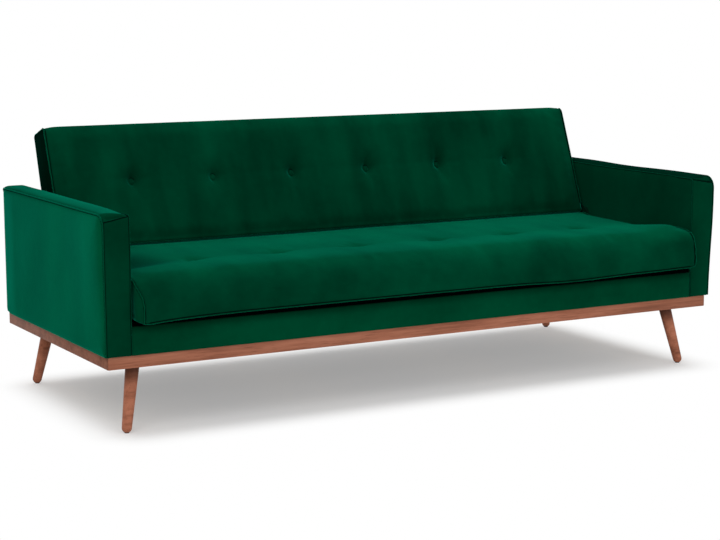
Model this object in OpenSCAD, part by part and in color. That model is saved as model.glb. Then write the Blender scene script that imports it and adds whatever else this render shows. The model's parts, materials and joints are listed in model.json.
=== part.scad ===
// Futon sofa bed: a bench sofa on a timber plinth with splayed legs. The back
// cushion drops level with the seat to make a bed, and the seat lifts off a
// bedding box. X runs along the sofa, the front faces -Y, the floor is at Z = 0.

/* [Overall] */
// Length over both arms
overall_w = 2139; // [1900:1:2400]
// Depth of the arms, front to rear
arm_depth = 876; // [800:1:950]
// Height of the arm tops above the floor
arm_top = 631; // [600:1:680]
// Thickness of one arm
arm_t = 77; // [70:1:100]
// Radius of the arms' front top corner
arm_corner_r = 38; // [20:1:70]

/* [Plinth and legs] */
// Underside of the plinth above the floor
plinth_z = 195; // [150:1:230]
// Height of the plinth boards
plinth_h = 36; // [30:1:40]
// How far the plinth stands in from the upholstery
plinth_inset = 7.5; // [4:0.5:12]
// Diameter of a leg at its top
leg_top_d = 41; // [38:1:52]
// Diameter of a leg at its foot
leg_foot_d = 29; // [26:1:36]
// Leg top centre, in from the upholstery's side
leg_in_x = 113; // [105:1:130]
// Leg top centre, in from the upholstery's front and rear
leg_in_y = 88; // [85:1:105]
// How far a foot splays out sideways from its leg top
leg_splay_x = 38; // [10:1:45]
// How far a foot splays out to the front or rear from its leg top
leg_splay_y = 36; // [10:1:45]

/* [Seat] */
// Length of the seat cushion
seat_w = 1942; // [1700:1:1942]
// Height of the seat cushion's top
seat_top = 455; // [440:1:480]
// Thickness of the seat cushion
seat_t = 120; // [110:1:125]
// How far the seat stands out in front of the arms
seat_overhang = 42; // [20:1:60]
// Radius of the seat's front top roll
seat_roll_r = 46; // [30:1:60]
// Distance from the arm fronts back to the hinge line
hinge_y_in = 580; // [560:1:600]

/* [Back] */
// Length of the back cushion
back_w = 1958; // [1700:1:1958]
// Height of the back cushion along its face
back_h = 397; // [340:1:420]
// Thickness of the back cushion at the bottom
back_t = 116; // [105:1:118]
// Thickness of the back cushion at the top
back_top_t = 88; // [80:1:96]
// Lean of the back from upright when it is a sofa
back_lean = 21.6; // [18:0.1:28]

/* [Tufting] */
// Buttons in one row
button_n = 6; // [4:1:7]
// Distance between buttons on the seat
seat_button_gap = 280; // [220:1:280]
// Distance between buttons on the back
back_button_gap = 283; // [220:1:283]
// Diameter of a covered button
button_d = 24; // [18:1:28]

/* [Hidden] */

$fn = 48;
eps = 0.5;              // how far a cutter runs past a face
gap = 0.15;             // slack round a screw or bolt that is fixed
run = 0.05;             // running clearance round the hinge pins

velvet_green = [0.0, 0.25, 0.17];
stained_wood = [0.50, 0.27, 0.20];
plain_wood = [0.80, 0.66, 0.46];
steel = [0.62, 0.63, 0.65];
black_steel = [0.12, 0.12, 0.13];
foam_cream = [0.90, 0.86, 0.72];
cloth_black = [0.10, 0.10, 0.11];
rubber_black = [0.06, 0.06, 0.06];

// Main planes
half_w = overall_w / 2;
y_front = -(arm_depth + seat_overhang) / 2 + seat_overhang;
y_rear = y_front + arm_depth;
base_z = plinth_z + plinth_h;
arm_in = half_w - arm_t;
seat_z = seat_top - seat_t;
pivot_y = y_front + hinge_y_in;
pivot_z = seat_top + 4;

// Plinth boards, blocks and bearers
plinth_x = half_w - plinth_inset;
plinth_t = 22;
plinth_y0 = y_front + plinth_inset;
plinth_y1 = y_rear - plinth_inset;
block_z = plinth_z + 4;
block_x = 170;
block_y = 125;
bearer_w = 60;
bearer_xs = [320, arm_in - 13];

// Box boards
board_t = 18;
cover_t = 4;
wrap_cut = 60;
box_floor_t = 6;
bracket_t = 3.4;
side_x1 = arm_in - bracket_t - 0.1;
side_x0 = side_x1 - board_t;
apron_top = seat_z - 7;
rear_top = seat_top - 98;

// Arm layers, from the outside in
velvet_t = 2.5;
padding_t = 10;
panel_t = 3;
arm_pad_in = velvet_t + padding_t;
arm_frame_in = arm_pad_in + panel_t;
arm_bolt_ys = [y_front + 150, y_front + 400, y_front + 720];
arm_bolt_z = base_z + 34;

// Hinge layers, outwards from the cushion ends
leaf_t = 3;
back_leaf_x = arm_in - 7.5;
seat_leaf_x = back_leaf_x - leaf_t - 1;
pin_r = 6;
pin_head_r = 9;
washer_r = 13;
eye_r = 16;
bracket_half = 42;
seat_bolt_dy = [130, 230];
back_bolt_us = [90, 190];
back_bolt_w = 56;

// Cushion cores
skin_t = 3;
tube = 25;
stretcher_x = 320;
under_side_in = 60;
under_front_in = 60;
under_rear_in = 50;
seat_y0 = y_front - seat_overhang;
seat_y1 = pivot_y - 4;
seat_frame_x = seat_w / 2 - 16;
seat_frame_z = seat_z + 5;
seat_frame_y0 = seat_y0 + 26;
seat_frame_y1 = seat_y1 - 12;
seat_button_y = y_front + 237;
seat_bolt_z = seat_frame_z + tube / 2;
back_u0 = 4;
back_u1 = back_u0 + back_h;
back_frame_x = back_w / 2 - 16;
back_frame_w = 44;
back_frame_u0 = back_u0 + 14;
back_frame_u1 = back_u1 - 30;
back_button_u = back_u0 + back_h * 0.52;
back_toe_r = 12;
back_heel_r = 16;
back_top_r = 24;
pit_depth = 9;
shank_len = 34;
wave = 20;
wave_pitch = 50;
spring_n = 9;
spring_gap = 212;

// ---- shapes shared by several parts ----

// One corner of a rounded outline: an arc of radius r that ends at angle a1
function corner(c, r, a0, a1, n = 9) =
    [for (i = [0:n]) c + r * [cos(a0 + (a1 - a0) * i / n), sin(a0 + (a1 - a0) * i / n)]];

// Upright rectangle from p to q with its four corner radii:
// bottom front, bottom rear, top rear, top front
function soft_rect(p, q, r) = concat(
    corner([p.x + r[0], p.y + r[0]], r[0], 180, 270),
    corner([q.x - r[1], p.y + r[1]], r[1], 270, 360),
    corner([q.x - r[2], q.y - r[2]], r[2], 0, 90),
    corner([p.x + r[3], q.y - r[3]], r[3], 90, 180));

// Extrude an outline drawn in Y and Z along X
module along_x(x0, x1) {
    translate([x0, 0, 0]) rotate([90, 0, 90]) linear_extrude(x1 - x0) children();
}

module box(x0, x1, y0, y1, z0, z1) {
    translate([x0, y0, z0]) cube([x1 - x0, y1 - y0, z1 - z0]);
}

// Rod along X
module rod_x(x0, x1, y, z, r) {
    translate([x0, y, z]) rotate([0, 90, 0]) cylinder(h = x1 - x0, r = r);
}

// The parts are drawn for the right-hand end; side -1 turns them over to the left
module on_side(side) {
    if (side < 0) mirror([1, 0, 0]) children();
    else children();
}

// Local frame of the back: Z runs up its face and Y through it to the rear
module in_back() {
    translate([0, pivot_y, pivot_z]) rotate([-back_lean, 0, 0]) children();
}

// Button places along X for a row with distance d between buttons
function button_xs(d) = [for (i = [0:button_n - 1]) (i - (button_n - 1) / 2) * d];

// ---- legs ----

leg_dir_len = norm([leg_splay_x, leg_splay_y, plinth_z]);
leg_tilt = acos(plinth_z / leg_dir_len);
leg_turn = atan2(-leg_splay_y, leg_splay_x);
foot_r = leg_foot_d / 2;
glide_h = 3;
glide_r = 7;

// Put children at the right front leg's top centre; fy = 1 is the front, -1 the rear
module at_leg(side, fy) {
    yc = fy > 0 ? y_front + leg_in_y : y_rear - leg_in_y;
    on_side(side) translate([half_w - leg_in_x, yc, plinth_z])
        mirror([0, fy > 0 ? 0 : 1, 0]) children();
}

module along_leg() {
    rotate([0, 0, leg_turn]) rotate([0, 180 - leg_tilt, 0]) children();
}

// Distance down the leg from its top centre to the middle of its ball foot
leg_len = (plinth_z - foot_r) * leg_dir_len / plinth_z;

module leg(side, fy) {
    color(stained_wood) at_leg(side, fy) difference() {
        intersection() {
            along_leg() union() {
                translate([0, 0, -10])
                    cylinder(h = leg_len + 10, r1 = leg_top_d / 2 + 0.3, r2 = foot_r);
                translate([0, 0, leg_len]) sphere(r = foot_r);
            }
            translate([-100, -100, glide_h - plinth_z]) cube([200, 200, plinth_z - glide_h]);
        }
        along_leg() translate([0, 0, -15]) cylinder(h = 60, r = 4 + gap);
    }
}

module each_leg() {
    for (side = [-1, 1]) for (fy = [-1, 1]) at_leg(side, fy) children();
}

module leg_glides() {
    foot_share = (plinth_z - foot_r) / plinth_z;
    color(rubber_black) each_leg()
        translate([leg_splay_x * foot_share, -leg_splay_y * foot_share, -plinth_z])
            cylinder(h = glide_h, r = glide_r);
}

plate_half = 36;
plate_hole = 27;

module leg_plates() {
    color(black_steel) each_leg() difference() {
        translate([-plate_half, -plate_half, 0]) cube([2 * plate_half, 2 * plate_half, 4]);
        along_leg() translate([0, 0, -15]) cylinder(h = 30, r = 4 + gap);
        for (dx = [-plate_hole, plate_hole]) for (dy = [-plate_hole, plate_hole])
            translate([dx, dy, -1]) cylinder(h = 6, r = 2 + gap);
    }
}

module leg_plate_screws() {
    color(steel) each_leg()
        for (dx = [-plate_hole, plate_hole]) for (dy = [-plate_hole, plate_hole])
            translate([dx, dy, 0]) {
                cylinder(h = 24, r = 2);
                translate([0, 0, -2]) cylinder(h = 2, r = 4);
            }
}

module hanger_bolts() {
    color(steel) each_leg() along_leg() translate([0, 0, -30]) cylinder(h = 72, r = 4);
}

// ---- plinth ----

// Mitred board along X at the front; the rear one is its mirror image
module plinth_long(front) {
    y0 = front ? plinth_y0 : plinth_y1;
    d = front ? plinth_t : -plinth_t;
    color(stained_wood) translate([0, 0, plinth_z]) linear_extrude(plinth_h)
        polygon([[-plinth_x, y0], [plinth_x, y0],
                 [plinth_x - plinth_t, y0 + d], [plinth_t - plinth_x, y0 + d]]);
}

module plinth_short(side) {
    color(stained_wood) on_side(side) translate([0, 0, plinth_z]) linear_extrude(plinth_h)
        polygon([[plinth_x, plinth_y0], [plinth_x, plinth_y1],
                 [plinth_x - plinth_t, plinth_y1 - plinth_t],
                 [plinth_x - plinth_t, plinth_y0 + plinth_t]]);
}

module corner_blocks() {
    color(plain_wood) difference() {
        for (side = [-1, 1]) on_side(side) {
            for (y0 = [plinth_y0 + plinth_t, plinth_y1 - plinth_t - block_y])
                box(plinth_x - plinth_t - block_x, plinth_x - plinth_t, y0, y0 + block_y, block_z, base_z);
        }
        each_leg() {
            along_leg() translate([0, 0, -36]) cylinder(h = 40, r = 4 + gap);
            for (dx = [-plate_hole, plate_hole]) for (dy = [-plate_hole, plate_hole])
                translate([dx, dy, 3]) cylinder(h = 24, r = 2 + gap);
        }
    }
}

module cross_bearers() {
    color(plain_wood) for (side = [-1, 1]) on_side(side) {
        box(bearer_xs[0] - bearer_w / 2, bearer_xs[0] + bearer_w / 2,
            plinth_y0 + plinth_t, plinth_y1 - plinth_t, block_z, base_z);
        box(bearer_xs[1] - bearer_w / 2, bearer_xs[1] + bearer_w / 2,
            plinth_y0 + plinth_t + block_y, plinth_y1 - plinth_t - block_y, block_z, base_z);
    }
}

// ---- bedding box ----

module box_floor() {
    color(plain_wood) box(-side_x0, side_x0, y_front + cover_t + board_t, y_rear - cover_t - board_t,
        base_z, base_z + box_floor_t);
}

module apron_board() {
    color(plain_wood) box(-side_x1, side_x1, y_front + cover_t, y_front + cover_t + board_t,
        base_z, apron_top - cover_t);
}

module rear_board() {
    color(plain_wood) box(-side_x1, side_x1, y_rear - cover_t - board_t, y_rear - cover_t,
        base_z, rear_top - cover_t);
}

module arm_bolt_holes(x0, x1, r) {
    for (y = arm_bolt_ys) rod_x(x0, x1, y, arm_bolt_z, r);
}

bracket_screw_zs = [base_z + 20, base_z + 70];
bracket_screw_dy = 26;

module bracket_screw_row(x0, x1, r) {
    for (z = bracket_screw_zs) for (dy = [-bracket_screw_dy, bracket_screw_dy])
        rod_x(x0, x1, pivot_y + dy, z, r);
}

module side_board(side) {
    color(plain_wood) on_side(side) difference() {
        box(side_x0, side_x1, y_front + cover_t + board_t, y_rear - cover_t - board_t, base_z, apron_top);
        arm_bolt_holes(side_x0 - eps, side_x1 + eps, 4 + gap);
        bracket_screw_row(side_x0 + 3, side_x1 + eps, 2.5 + gap);
    }
}

// Padded velvet facing that wraps over the top edge of a board
module apron_cover() {
    color(velvet_green) difference() {
        along_x(-arm_in + 0.3, arm_in - 0.3)
            polygon(soft_rect([y_front, base_z], [y_front + cover_t + board_t, apron_top], [1, 1, 2, 4]));
        box(-side_x1 - 1, side_x1 + 1, y_front + cover_t, y_front + wrap_cut, base_z - 1, apron_top - cover_t);
        for (side = [-1, 1]) on_side(side)
            box(side_x1 + 0.9, half_w, y_front + cover_t, y_front + wrap_cut, base_z - 1, apron_top + 1);
    }
}

module rear_cover() {
    color(velvet_green) difference() {
        along_x(-arm_in + 0.3, arm_in - 0.3)
            polygon(soft_rect([y_rear - cover_t - board_t, base_z], [y_rear, rear_top], [1, 1, 4, 2]));
        box(-side_x1 - 1, side_x1 + 1, y_rear - wrap_cut, y_rear - cover_t, base_z - 1, rear_top - cover_t);
        for (side = [-1, 1]) on_side(side)
            box(side_x1 + 0.9, half_w, y_rear - wrap_cut, y_rear - cover_t, base_z - 1, rear_top + 1);
    }
}

bumper_xs = [-840, -280, 280, 840];
bumper_in = 13;
bumper_r = 7;

module seat_bumpers() {
    color(rubber_black) for (x = bumper_xs)
        translate([x, y_front + bumper_in, apron_top]) cylinder(h = seat_z - apron_top - 0.3, r = bumper_r);
}

// Height of the laid-flat back's underside over the rear board
rear_reach = y_rear - bumper_in - pivot_y;
flat_under = pivot_z - back_t + (back_t - back_top_t) * (rear_reach - 10) / back_h;

module back_bumpers() {
    color(rubber_black) for (x = bumper_xs)
        translate([x, y_rear - bumper_in, rear_top]) cylinder(h = flat_under - rear_top - 0.5, r = bumper_r);
}

// ---- arms ----

// Outline of an arm seen from its side, drawn in by d all round but the bottom
function arm_outline(d) = soft_rect([y_front + d, base_z], [y_rear - d, arm_top - d],
    [1, 1, max(14 - d, 2), arm_corner_r - d]);

// Arm block drawn in by d, softened along its top edges
module arm_block(d, bottom = 0) {
    intersection() {
        along_x(arm_in + d, half_w - d) polygon(arm_outline(d));
        translate([0, y_rear + 1, 0]) rotate([90, 0, 0]) linear_extrude(arm_depth + 2)
            polygon(soft_rect([arm_in + d, base_z - bottom], [half_w - d, arm_top - d],
                [1, 1, max(14 - d, 2), max(10 - d, 2)]));
    }
}

module arm_cover(side) {
    color(velvet_green) on_side(side) difference() {
        arm_block(0);
        arm_core(velvet_t);
        arm_bolt_holes(arm_in - eps, arm_in + 20, 4 + gap);
    }
}

// Room inside a layer, open at the bottom
module arm_core(d) {
    arm_block(d);
    box(arm_in + d, half_w - d, y_front + d, y_rear - d, base_z - 2, base_z + 20);
}

module arm_padding(side) {
    color(foam_cream) on_side(side) difference() {
        arm_block(velvet_t);
        arm_core(arm_pad_in);
        arm_bolt_holes(arm_in, arm_in + 20, 4 + gap);
    }
}

module arm_panels(side) {
    color(plain_wood) on_side(side) difference() {
        for (x = [arm_in + arm_pad_in, half_w - arm_frame_in])
            along_x(x, x + panel_t)
                polygon(soft_rect([y_front + arm_pad_in, base_z], [y_rear - arm_pad_in, arm_top - arm_pad_in - 3],
                    [1, 1, 2, arm_corner_r - arm_pad_in]));
        arm_bolt_holes(arm_in, arm_in + 20, 4 + gap);
    }
}

rail = 45;

module arm_frame(side) {
    y0 = y_front + arm_pad_in;
    y1 = y_rear - arm_pad_in;
    z1 = arm_top - arm_pad_in;
    color(plain_wood) on_side(side) difference() {
        along_x(arm_in + arm_frame_in, half_w - arm_frame_in)
            polygon(soft_rect([y0, base_z], [y1, z1], [1, 1, 2, arm_corner_r - arm_pad_in]));
        for (bay = [0, 1]) {
            bay_y0 = bay == 0 ? y0 + rail : (y0 + y1 + rail) / 2;
            bay_y1 = bay == 0 ? (y0 + y1 - rail) / 2 : y1 - rail;
            box(arm_in, half_w, bay_y0, bay_y1, base_z + 70, z1 - rail);
        }
        arm_bolt_holes(arm_in, arm_in + arm_frame_in + 30, 4 + gap);
        arm_bolt_holes(arm_in + arm_frame_in + 19, arm_in + arm_frame_in + 31, 6 + gap);
    }
}

module arm_bolts() {
    color(steel) for (side = [-1, 1]) on_side(side) {
        arm_bolt_holes(side_x0 - 1.5, arm_in + arm_frame_in + 20, 4);
        arm_bolt_holes(side_x0 - 1.5, side_x0, 11);
        arm_bolt_holes(side_x0 - 6.5, side_x0 - 1.5, 6.5);
    }
}

module arm_tee_nuts() {
    color(steel) for (side = [-1, 1]) on_side(side)
        arm_bolt_holes(arm_in + arm_frame_in + 20.1, arm_in + arm_frame_in + 30, 6);
}

// ---- hinges ----

module hinge_bracket(side) {
    color(black_steel) on_side(side) difference() {
        along_x(arm_in - bracket_t - 0.05, arm_in - 0.05) union() {
            translate([pivot_y - bracket_half, base_z]) square([2 * bracket_half, pivot_z - base_z - 60]);
            polygon([[pivot_y - bracket_half, pivot_z - 61], [pivot_y + bracket_half, pivot_z - 61],
                     [pivot_y + eye_r, pivot_z], [pivot_y - eye_r, pivot_z]]);
            translate([pivot_y, pivot_z]) circle(r = eye_r);
        }
        rod_x(arm_in - 10, arm_in + 1, pivot_y, pivot_z, pin_r + run);
        bracket_screw_row(arm_in - 10, arm_in + 1, 2.5 + gap);
    }
}

module hinge_bracket_screws() {
    color(steel) for (side = [-1, 1]) on_side(side) bracket_screw_row(side_x0 + 3.2, arm_in - 0.1, 2.5);
}

module pivot_pins() {
    color(steel) for (side = [-1, 1]) on_side(side) {
        rod_x(seat_leaf_x - 1.3, arm_in - 0.1, pivot_y, pivot_z, pin_r);
        rod_x(seat_leaf_x - 1.3, seat_leaf_x - 0.3, pivot_y, pivot_z, pin_head_r);
    }
}

module washer(x) {
    difference() {
        rod_x(x, x + 0.8, pivot_y, pivot_z, washer_r);
        rod_x(x - 1, x + 2, pivot_y, pivot_z, pin_r + run);
    }
}

module pivot_washers() {
    color("white") for (side = [-1, 1]) on_side(side) {
        washer(seat_leaf_x + leaf_t + 0.1);
        washer(back_leaf_x + leaf_t + 0.1);
    }
}

// Flat strap from the hinge eye forward and down to the seat frame
module seat_leaf(side) {
    y_far = pivot_y - seat_bolt_dy[1] - 22;
    color(black_steel) on_side(side) difference() {
        along_x(seat_leaf_x, seat_leaf_x + leaf_t) union() {
            translate([pivot_y, pivot_z]) circle(r = eye_r);
            polygon([[pivot_y - 3, pivot_z - eye_r + 1], [pivot_y - 9, pivot_z + eye_r - 4],
                     [pivot_y - seat_bolt_dy[0] + 10, seat_bolt_z + 16], [y_far, seat_bolt_z + 16],
                     [y_far, seat_bolt_z - 12], [pivot_y - seat_bolt_dy[0] + 30, seat_bolt_z - 12]]);
        }
        rod_x(seat_leaf_x - 1, seat_leaf_x + leaf_t + 1, pivot_y, pivot_z, pin_r + run);
        for (d = seat_bolt_dy)
            rod_x(seat_leaf_x - 1, seat_leaf_x + leaf_t + 1, pivot_y - d, seat_bolt_z, 4 + gap);
    }
}

module seat_bolt_row(x0, x1, r) {
    for (d = seat_bolt_dy) rod_x(x0, x1, pivot_y - d, seat_bolt_z, r);
}

module seat_leaf_bolts() {
    color(steel) for (side = [-1, 1]) on_side(side) {
        seat_bolt_row(seat_frame_x - 1.5 - tube, seat_leaf_x + leaf_t + 1, 4);
        seat_bolt_row(seat_leaf_x + leaf_t, seat_leaf_x + leaf_t + 3.5, 7);
    }
}

// Flat strap from the hinge eye up the end of the back
module back_leaf(side) {
    u1 = back_bolt_us[1] + 18;
    color(black_steel) on_side(side) difference() {
        in_back() {
            rod_x(back_leaf_x, back_leaf_x + leaf_t, 0, 0, eye_r);
            along_x(back_leaf_x, back_leaf_x + leaf_t)
                polygon([[-10, 10], [back_bolt_w - 13, 62], [back_bolt_w - 13, u1],
                         [back_bolt_w + 13, u1], [back_bolt_w + 13, 48], [10, -10], [-9, -9]]);
        }
        in_back() rod_x(back_leaf_x - 1, back_leaf_x + leaf_t + 1, 0, 0, pin_r + run);
        back_bolt_row(back_leaf_x - 1, back_leaf_x + leaf_t + 1, 4 + gap);
    }
}

module back_bolt_row(x0, x1, r) {
    in_back() for (u = back_bolt_us) rod_x(x0, x1, back_bolt_w, u, r);
}

module back_leaf_bolts() {
    color(steel) for (side = [-1, 1]) on_side(side) {
        back_bolt_row(back_frame_x - 1.5 - tube, back_leaf_x + leaf_t + 1, 4);
        back_bolt_row(back_leaf_x + leaf_t, back_leaf_x + leaf_t + 3.5, 7);
    }
}

// ---- seat ----

function seat_outline(d) = soft_rect([seat_y0 + d, seat_z + d], [seat_y1 - d, seat_top - d],
    [14 - d, 5 - d, 20 - d, seat_roll_r - d]);

module seat_pits(r, depth, shank_r) {
    for (x = button_xs(seat_button_gap)) translate([x, seat_button_y, 0]) {
        translate([0, 0, seat_top - depth]) cylinder(h = depth + 1, r = r);
        translate([0, 0, seat_top - pit_depth - shank_len]) cylinder(h = shank_len, r = shank_r);
    }
}

module seat_cover() {
    half = seat_w / 2;
    color(velvet_green) difference() {
        along_x(-half, half) polygon(seat_outline(0));
        along_x(skin_t - half, half - skin_t) polygon(seat_outline(skin_t));
        box(under_side_in - half, half - under_side_in, seat_y0 + under_front_in, seat_y1 - under_rear_in,
            seat_z - 1, seat_z + 20);
        seat_pits(button_d / 2 + 2, pit_depth, 2);
        for (side = [-1, 1]) on_side(side) seat_bolt_row(half - 30, half + 1, 4 + gap);
    }
}

module seat_foam() {
    half = seat_w / 2 - skin_t - 0.1;
    color(foam_cream) difference() {
        along_x(-half, half) polygon(seat_outline(skin_t + 0.1));
        box(-seat_frame_x - 0.5, seat_frame_x + 0.5, seat_frame_y0 - 0.5, seat_frame_y1 + 0.5,
            seat_z, seat_frame_z + tube + 0.5);
        seat_pits(button_d / 2 + 2, pit_depth, 2.2);
        for (side = [-1, 1]) on_side(side) seat_bolt_row(seat_frame_x - 1, half + 1, 4 + gap);
    }
}

module tube_ring(half, a0, a1, z0) {
    difference() {
        box(-half, half, a0, a1, z0, z0 + tube);
        box(-half + tube, half - tube, a0 + tube, a1 - tube, z0 - 1, z0 + tube + 1);
    }
}

// Welded square tube ring with two stretchers
module seat_frame() {
    color(black_steel) difference() {
        union() {
            tube_ring(seat_frame_x, seat_frame_y0, seat_frame_y1, seat_frame_z);
            for (x = [-1, 1] * stretcher_x)
                box(x - tube / 2, x + tube / 2, seat_frame_y0 + tube - 1, seat_frame_y1 - tube + 1,
                    seat_frame_z, seat_frame_z + 15);
        }
        for (side = [-1, 1]) on_side(side) seat_bolt_row(seat_frame_x - tube - 2, seat_frame_x + 1, 4 + gap);
    }
}

spring_xs = [for (i = [0:spring_n - 1]) (i - (spring_n - 1) / 2) * spring_gap];
spring_y0 = seat_frame_y0 + tube + 2;
spring_y1 = seat_frame_y1 - tube - 2;
spring_z = seat_frame_z + 18;
function wave_x(t) = wave * sin(360 * t / wave_pitch);
function wave_points(off, n) = [for (i = [0:n])
    let (t = (spring_y1 - spring_y0) * i / n, a = atan(wave * 2 * PI / wave_pitch * cos(360 * t / wave_pitch)))
    [wave_x(t) + off * cos(a), spring_y0 + t - off * sin(a)]];
function back_to_front(p) = [for (i = [len(p) - 1:-1:0]) p[i]];

// Zigzag springs stretched from front to rear
module seat_springs() {
    n = round((spring_y1 - spring_y0) / wave_pitch) * 8;
    color(steel) for (x = spring_xs) translate([x, 0, spring_z]) linear_extrude(3.6)
        polygon(concat(wave_points(1.8, n), back_to_front(wave_points(-1.8, n))));
}

module seat_spring_clips() {
    color(steel) for (x = spring_xs) for (end = [0, 1]) {
        y = end == 0 ? seat_frame_y0 + tube : seat_frame_y1 - tube - 9;
        translate([x - 14, y, spring_z + 3.8]) cube([28, 9, 2]);
    }
}

module seat_dust_cloth() {
    half = seat_w / 2;
    color(cloth_black) box(under_side_in - half + 0.3, half - under_side_in - 0.3,
        seat_y0 + under_front_in + 0.3, seat_y1 - under_rear_in - 0.3, seat_z + 0.5, seat_z + 1.5);
}

// Domed button with a loop shank
module button() {
    r = button_d / 2;
    rotate_extrude() polygon(concat([[0, 0], [r - 1, 0]],
        corner([r - 1, 1], 1, 270, 360, 3), corner([0, 1.5], r, 0, 90, 6) * [[1, 0], [0, 0.42]]));
    translate([0, 0, 4 - shank_len]) cylinder(h = shank_len - 3, r = 1.8);
}

module seat_buttons() {
    color(velvet_green) for (x = button_xs(seat_button_gap))
        translate([x, seat_button_y, seat_top - pit_depth + 0.2]) button();
}

// ---- back ----

// Outline of the back in its local frame: thick at the bottom, thin at the top
function back_outline(d) =
    let (slope = (back_t - back_top_t) / back_h, w0 = back_t, w1 = back_top_t)
    concat(corner([back_toe_r, back_u0 + back_toe_r], back_toe_r - d, 180, 270),
           corner([w0 - back_heel_r, back_u0 + back_heel_r], back_heel_r - d, 270, 360 - atan(slope)),
           corner([w1 - back_top_r, back_u1 - back_top_r], back_top_r - d, 0, 90),
           corner([back_top_r, back_u1 - back_top_r], back_top_r - d, 90, 180));

module back_prism(half, d) {
    in_back() along_x(-half, half) polygon(back_outline(d));
}

module at_back_buttons() {
    for (x = button_xs(back_button_gap)) in_back() translate([x, 0, back_button_u])
        rotate([90, 0, 0]) children();
}

module back_pits(r, shank_r) {
    at_back_buttons() {
        translate([0, 0, -pit_depth]) cylinder(h = pit_depth + 1, r = r);
        translate([0, 0, -pit_depth - shank_len]) cylinder(h = shank_len, r = shank_r);
    }
}

module back_cover() {
    half = back_w / 2;
    color(velvet_green) difference() {
        back_prism(half, 0);
        back_prism(half - skin_t, skin_t);
        back_pits(button_d / 2 + 2, 2);
        for (side = [-1, 1]) on_side(side) back_bolt_row(half - 30, half + 1, 4 + gap);
    }
}

module back_foam() {
    half = back_w / 2 - skin_t - 0.1;
    color(foam_cream) difference() {
        back_prism(half, skin_t + 0.1);
        in_back() box(-back_frame_x - 0.5, back_frame_x + 0.5, back_frame_w - 3, back_frame_w + tube + 0.5,
            back_frame_u0 - 0.5, back_frame_u1 + 0.5);
        back_pits(button_d / 2 + 2, 2.2);
        for (side = [-1, 1]) on_side(side) back_bolt_row(back_frame_x - 1, half + 1, 4 + gap);
    }
}

module back_frame() {
    color(black_steel) difference() {
        in_back() {
            rotate([90, 0, 0]) mirror([0, 0, 1])
                tube_ring(back_frame_x, back_frame_u0, back_frame_u1, back_frame_w);
            for (x = [-1, 1] * stretcher_x)
                box(x - tube / 2, x + tube / 2, back_frame_w + 1, back_frame_w + tube,
                    back_frame_u0 + tube - 1, back_frame_u1 - tube + 1);
        }
        for (side = [-1, 1]) on_side(side) back_bolt_row(back_frame_x - tube - 2, back_frame_x + 1, 4 + gap);
    }
}

webbing_n = 8;
webbing_gap = 228;
webbing_w = 60;

module back_webbing() {
    color(cloth_black) in_back() for (i = [0:webbing_n - 1])
        translate([(i - (webbing_n - 1) / 2) * webbing_gap - webbing_w / 2, back_frame_w - 2.2, back_frame_u0 + 3])
            cube([webbing_w, 2, back_frame_u1 - back_frame_u0 - 6]);
}

module back_buttons() {
    color(velvet_green) at_back_buttons() translate([0, 0, -pit_depth + 0.2]) button();
}

leg(-1, 1);  // leg_front_left
leg(1, 1);  // leg_front_right
leg(-1, -1);  // leg_rear_left
leg(1, -1);  // leg_rear_right
leg_glides();
leg_plates();
leg_plate_screws();
hanger_bolts();
plinth_long(true);  // plinth_front
plinth_long(false);  // plinth_rear
plinth_short(-1);  // plinth_left
plinth_short(1);  // plinth_right
corner_blocks();
cross_bearers();
box_floor();
apron_board();
rear_board();
side_board(-1);  // side_board_left
side_board(1);  // side_board_right
apron_cover();
rear_cover();
seat_bumpers();
back_bumpers();
arm_frame(-1);  // arm_frame_left
arm_frame(1);  // arm_frame_right
arm_panels(-1);  // arm_panels_left
arm_panels(1);  // arm_panels_right
arm_padding(-1);  // arm_padding_left
arm_padding(1);  // arm_padding_right
arm_cover(-1);  // arm_cover_left
arm_cover(1);  // arm_cover_right
arm_bolts();
arm_tee_nuts();
hinge_bracket(-1);  // hinge_bracket_left
hinge_bracket(1);  // hinge_bracket_right
hinge_bracket_screws();
pivot_pins();
pivot_washers();
seat_frame();
seat_springs();
seat_spring_clips();
seat_foam();
seat_cover();
seat_dust_cloth();
seat_buttons();
seat_leaf(-1);  // seat_leaf_left
seat_leaf(1);  // seat_leaf_right
seat_leaf_bolts();
back_frame();
back_webbing();
back_foam();
back_cover();
back_buttons();
back_leaf(-1);  // back_leaf_left
back_leaf(1);  // back_leaf_right
back_leaf_bolts();
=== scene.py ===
# Futon sofa bed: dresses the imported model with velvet, timber and steel.
# Lengths are in metres: X runs along the sofa to its right, -Y is its front, and Z is up.
import json
import math

import bmesh
import bpy
from mathutils import Matrix, Vector, noise
from mathutils.bvhtree import BVHTree


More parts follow.
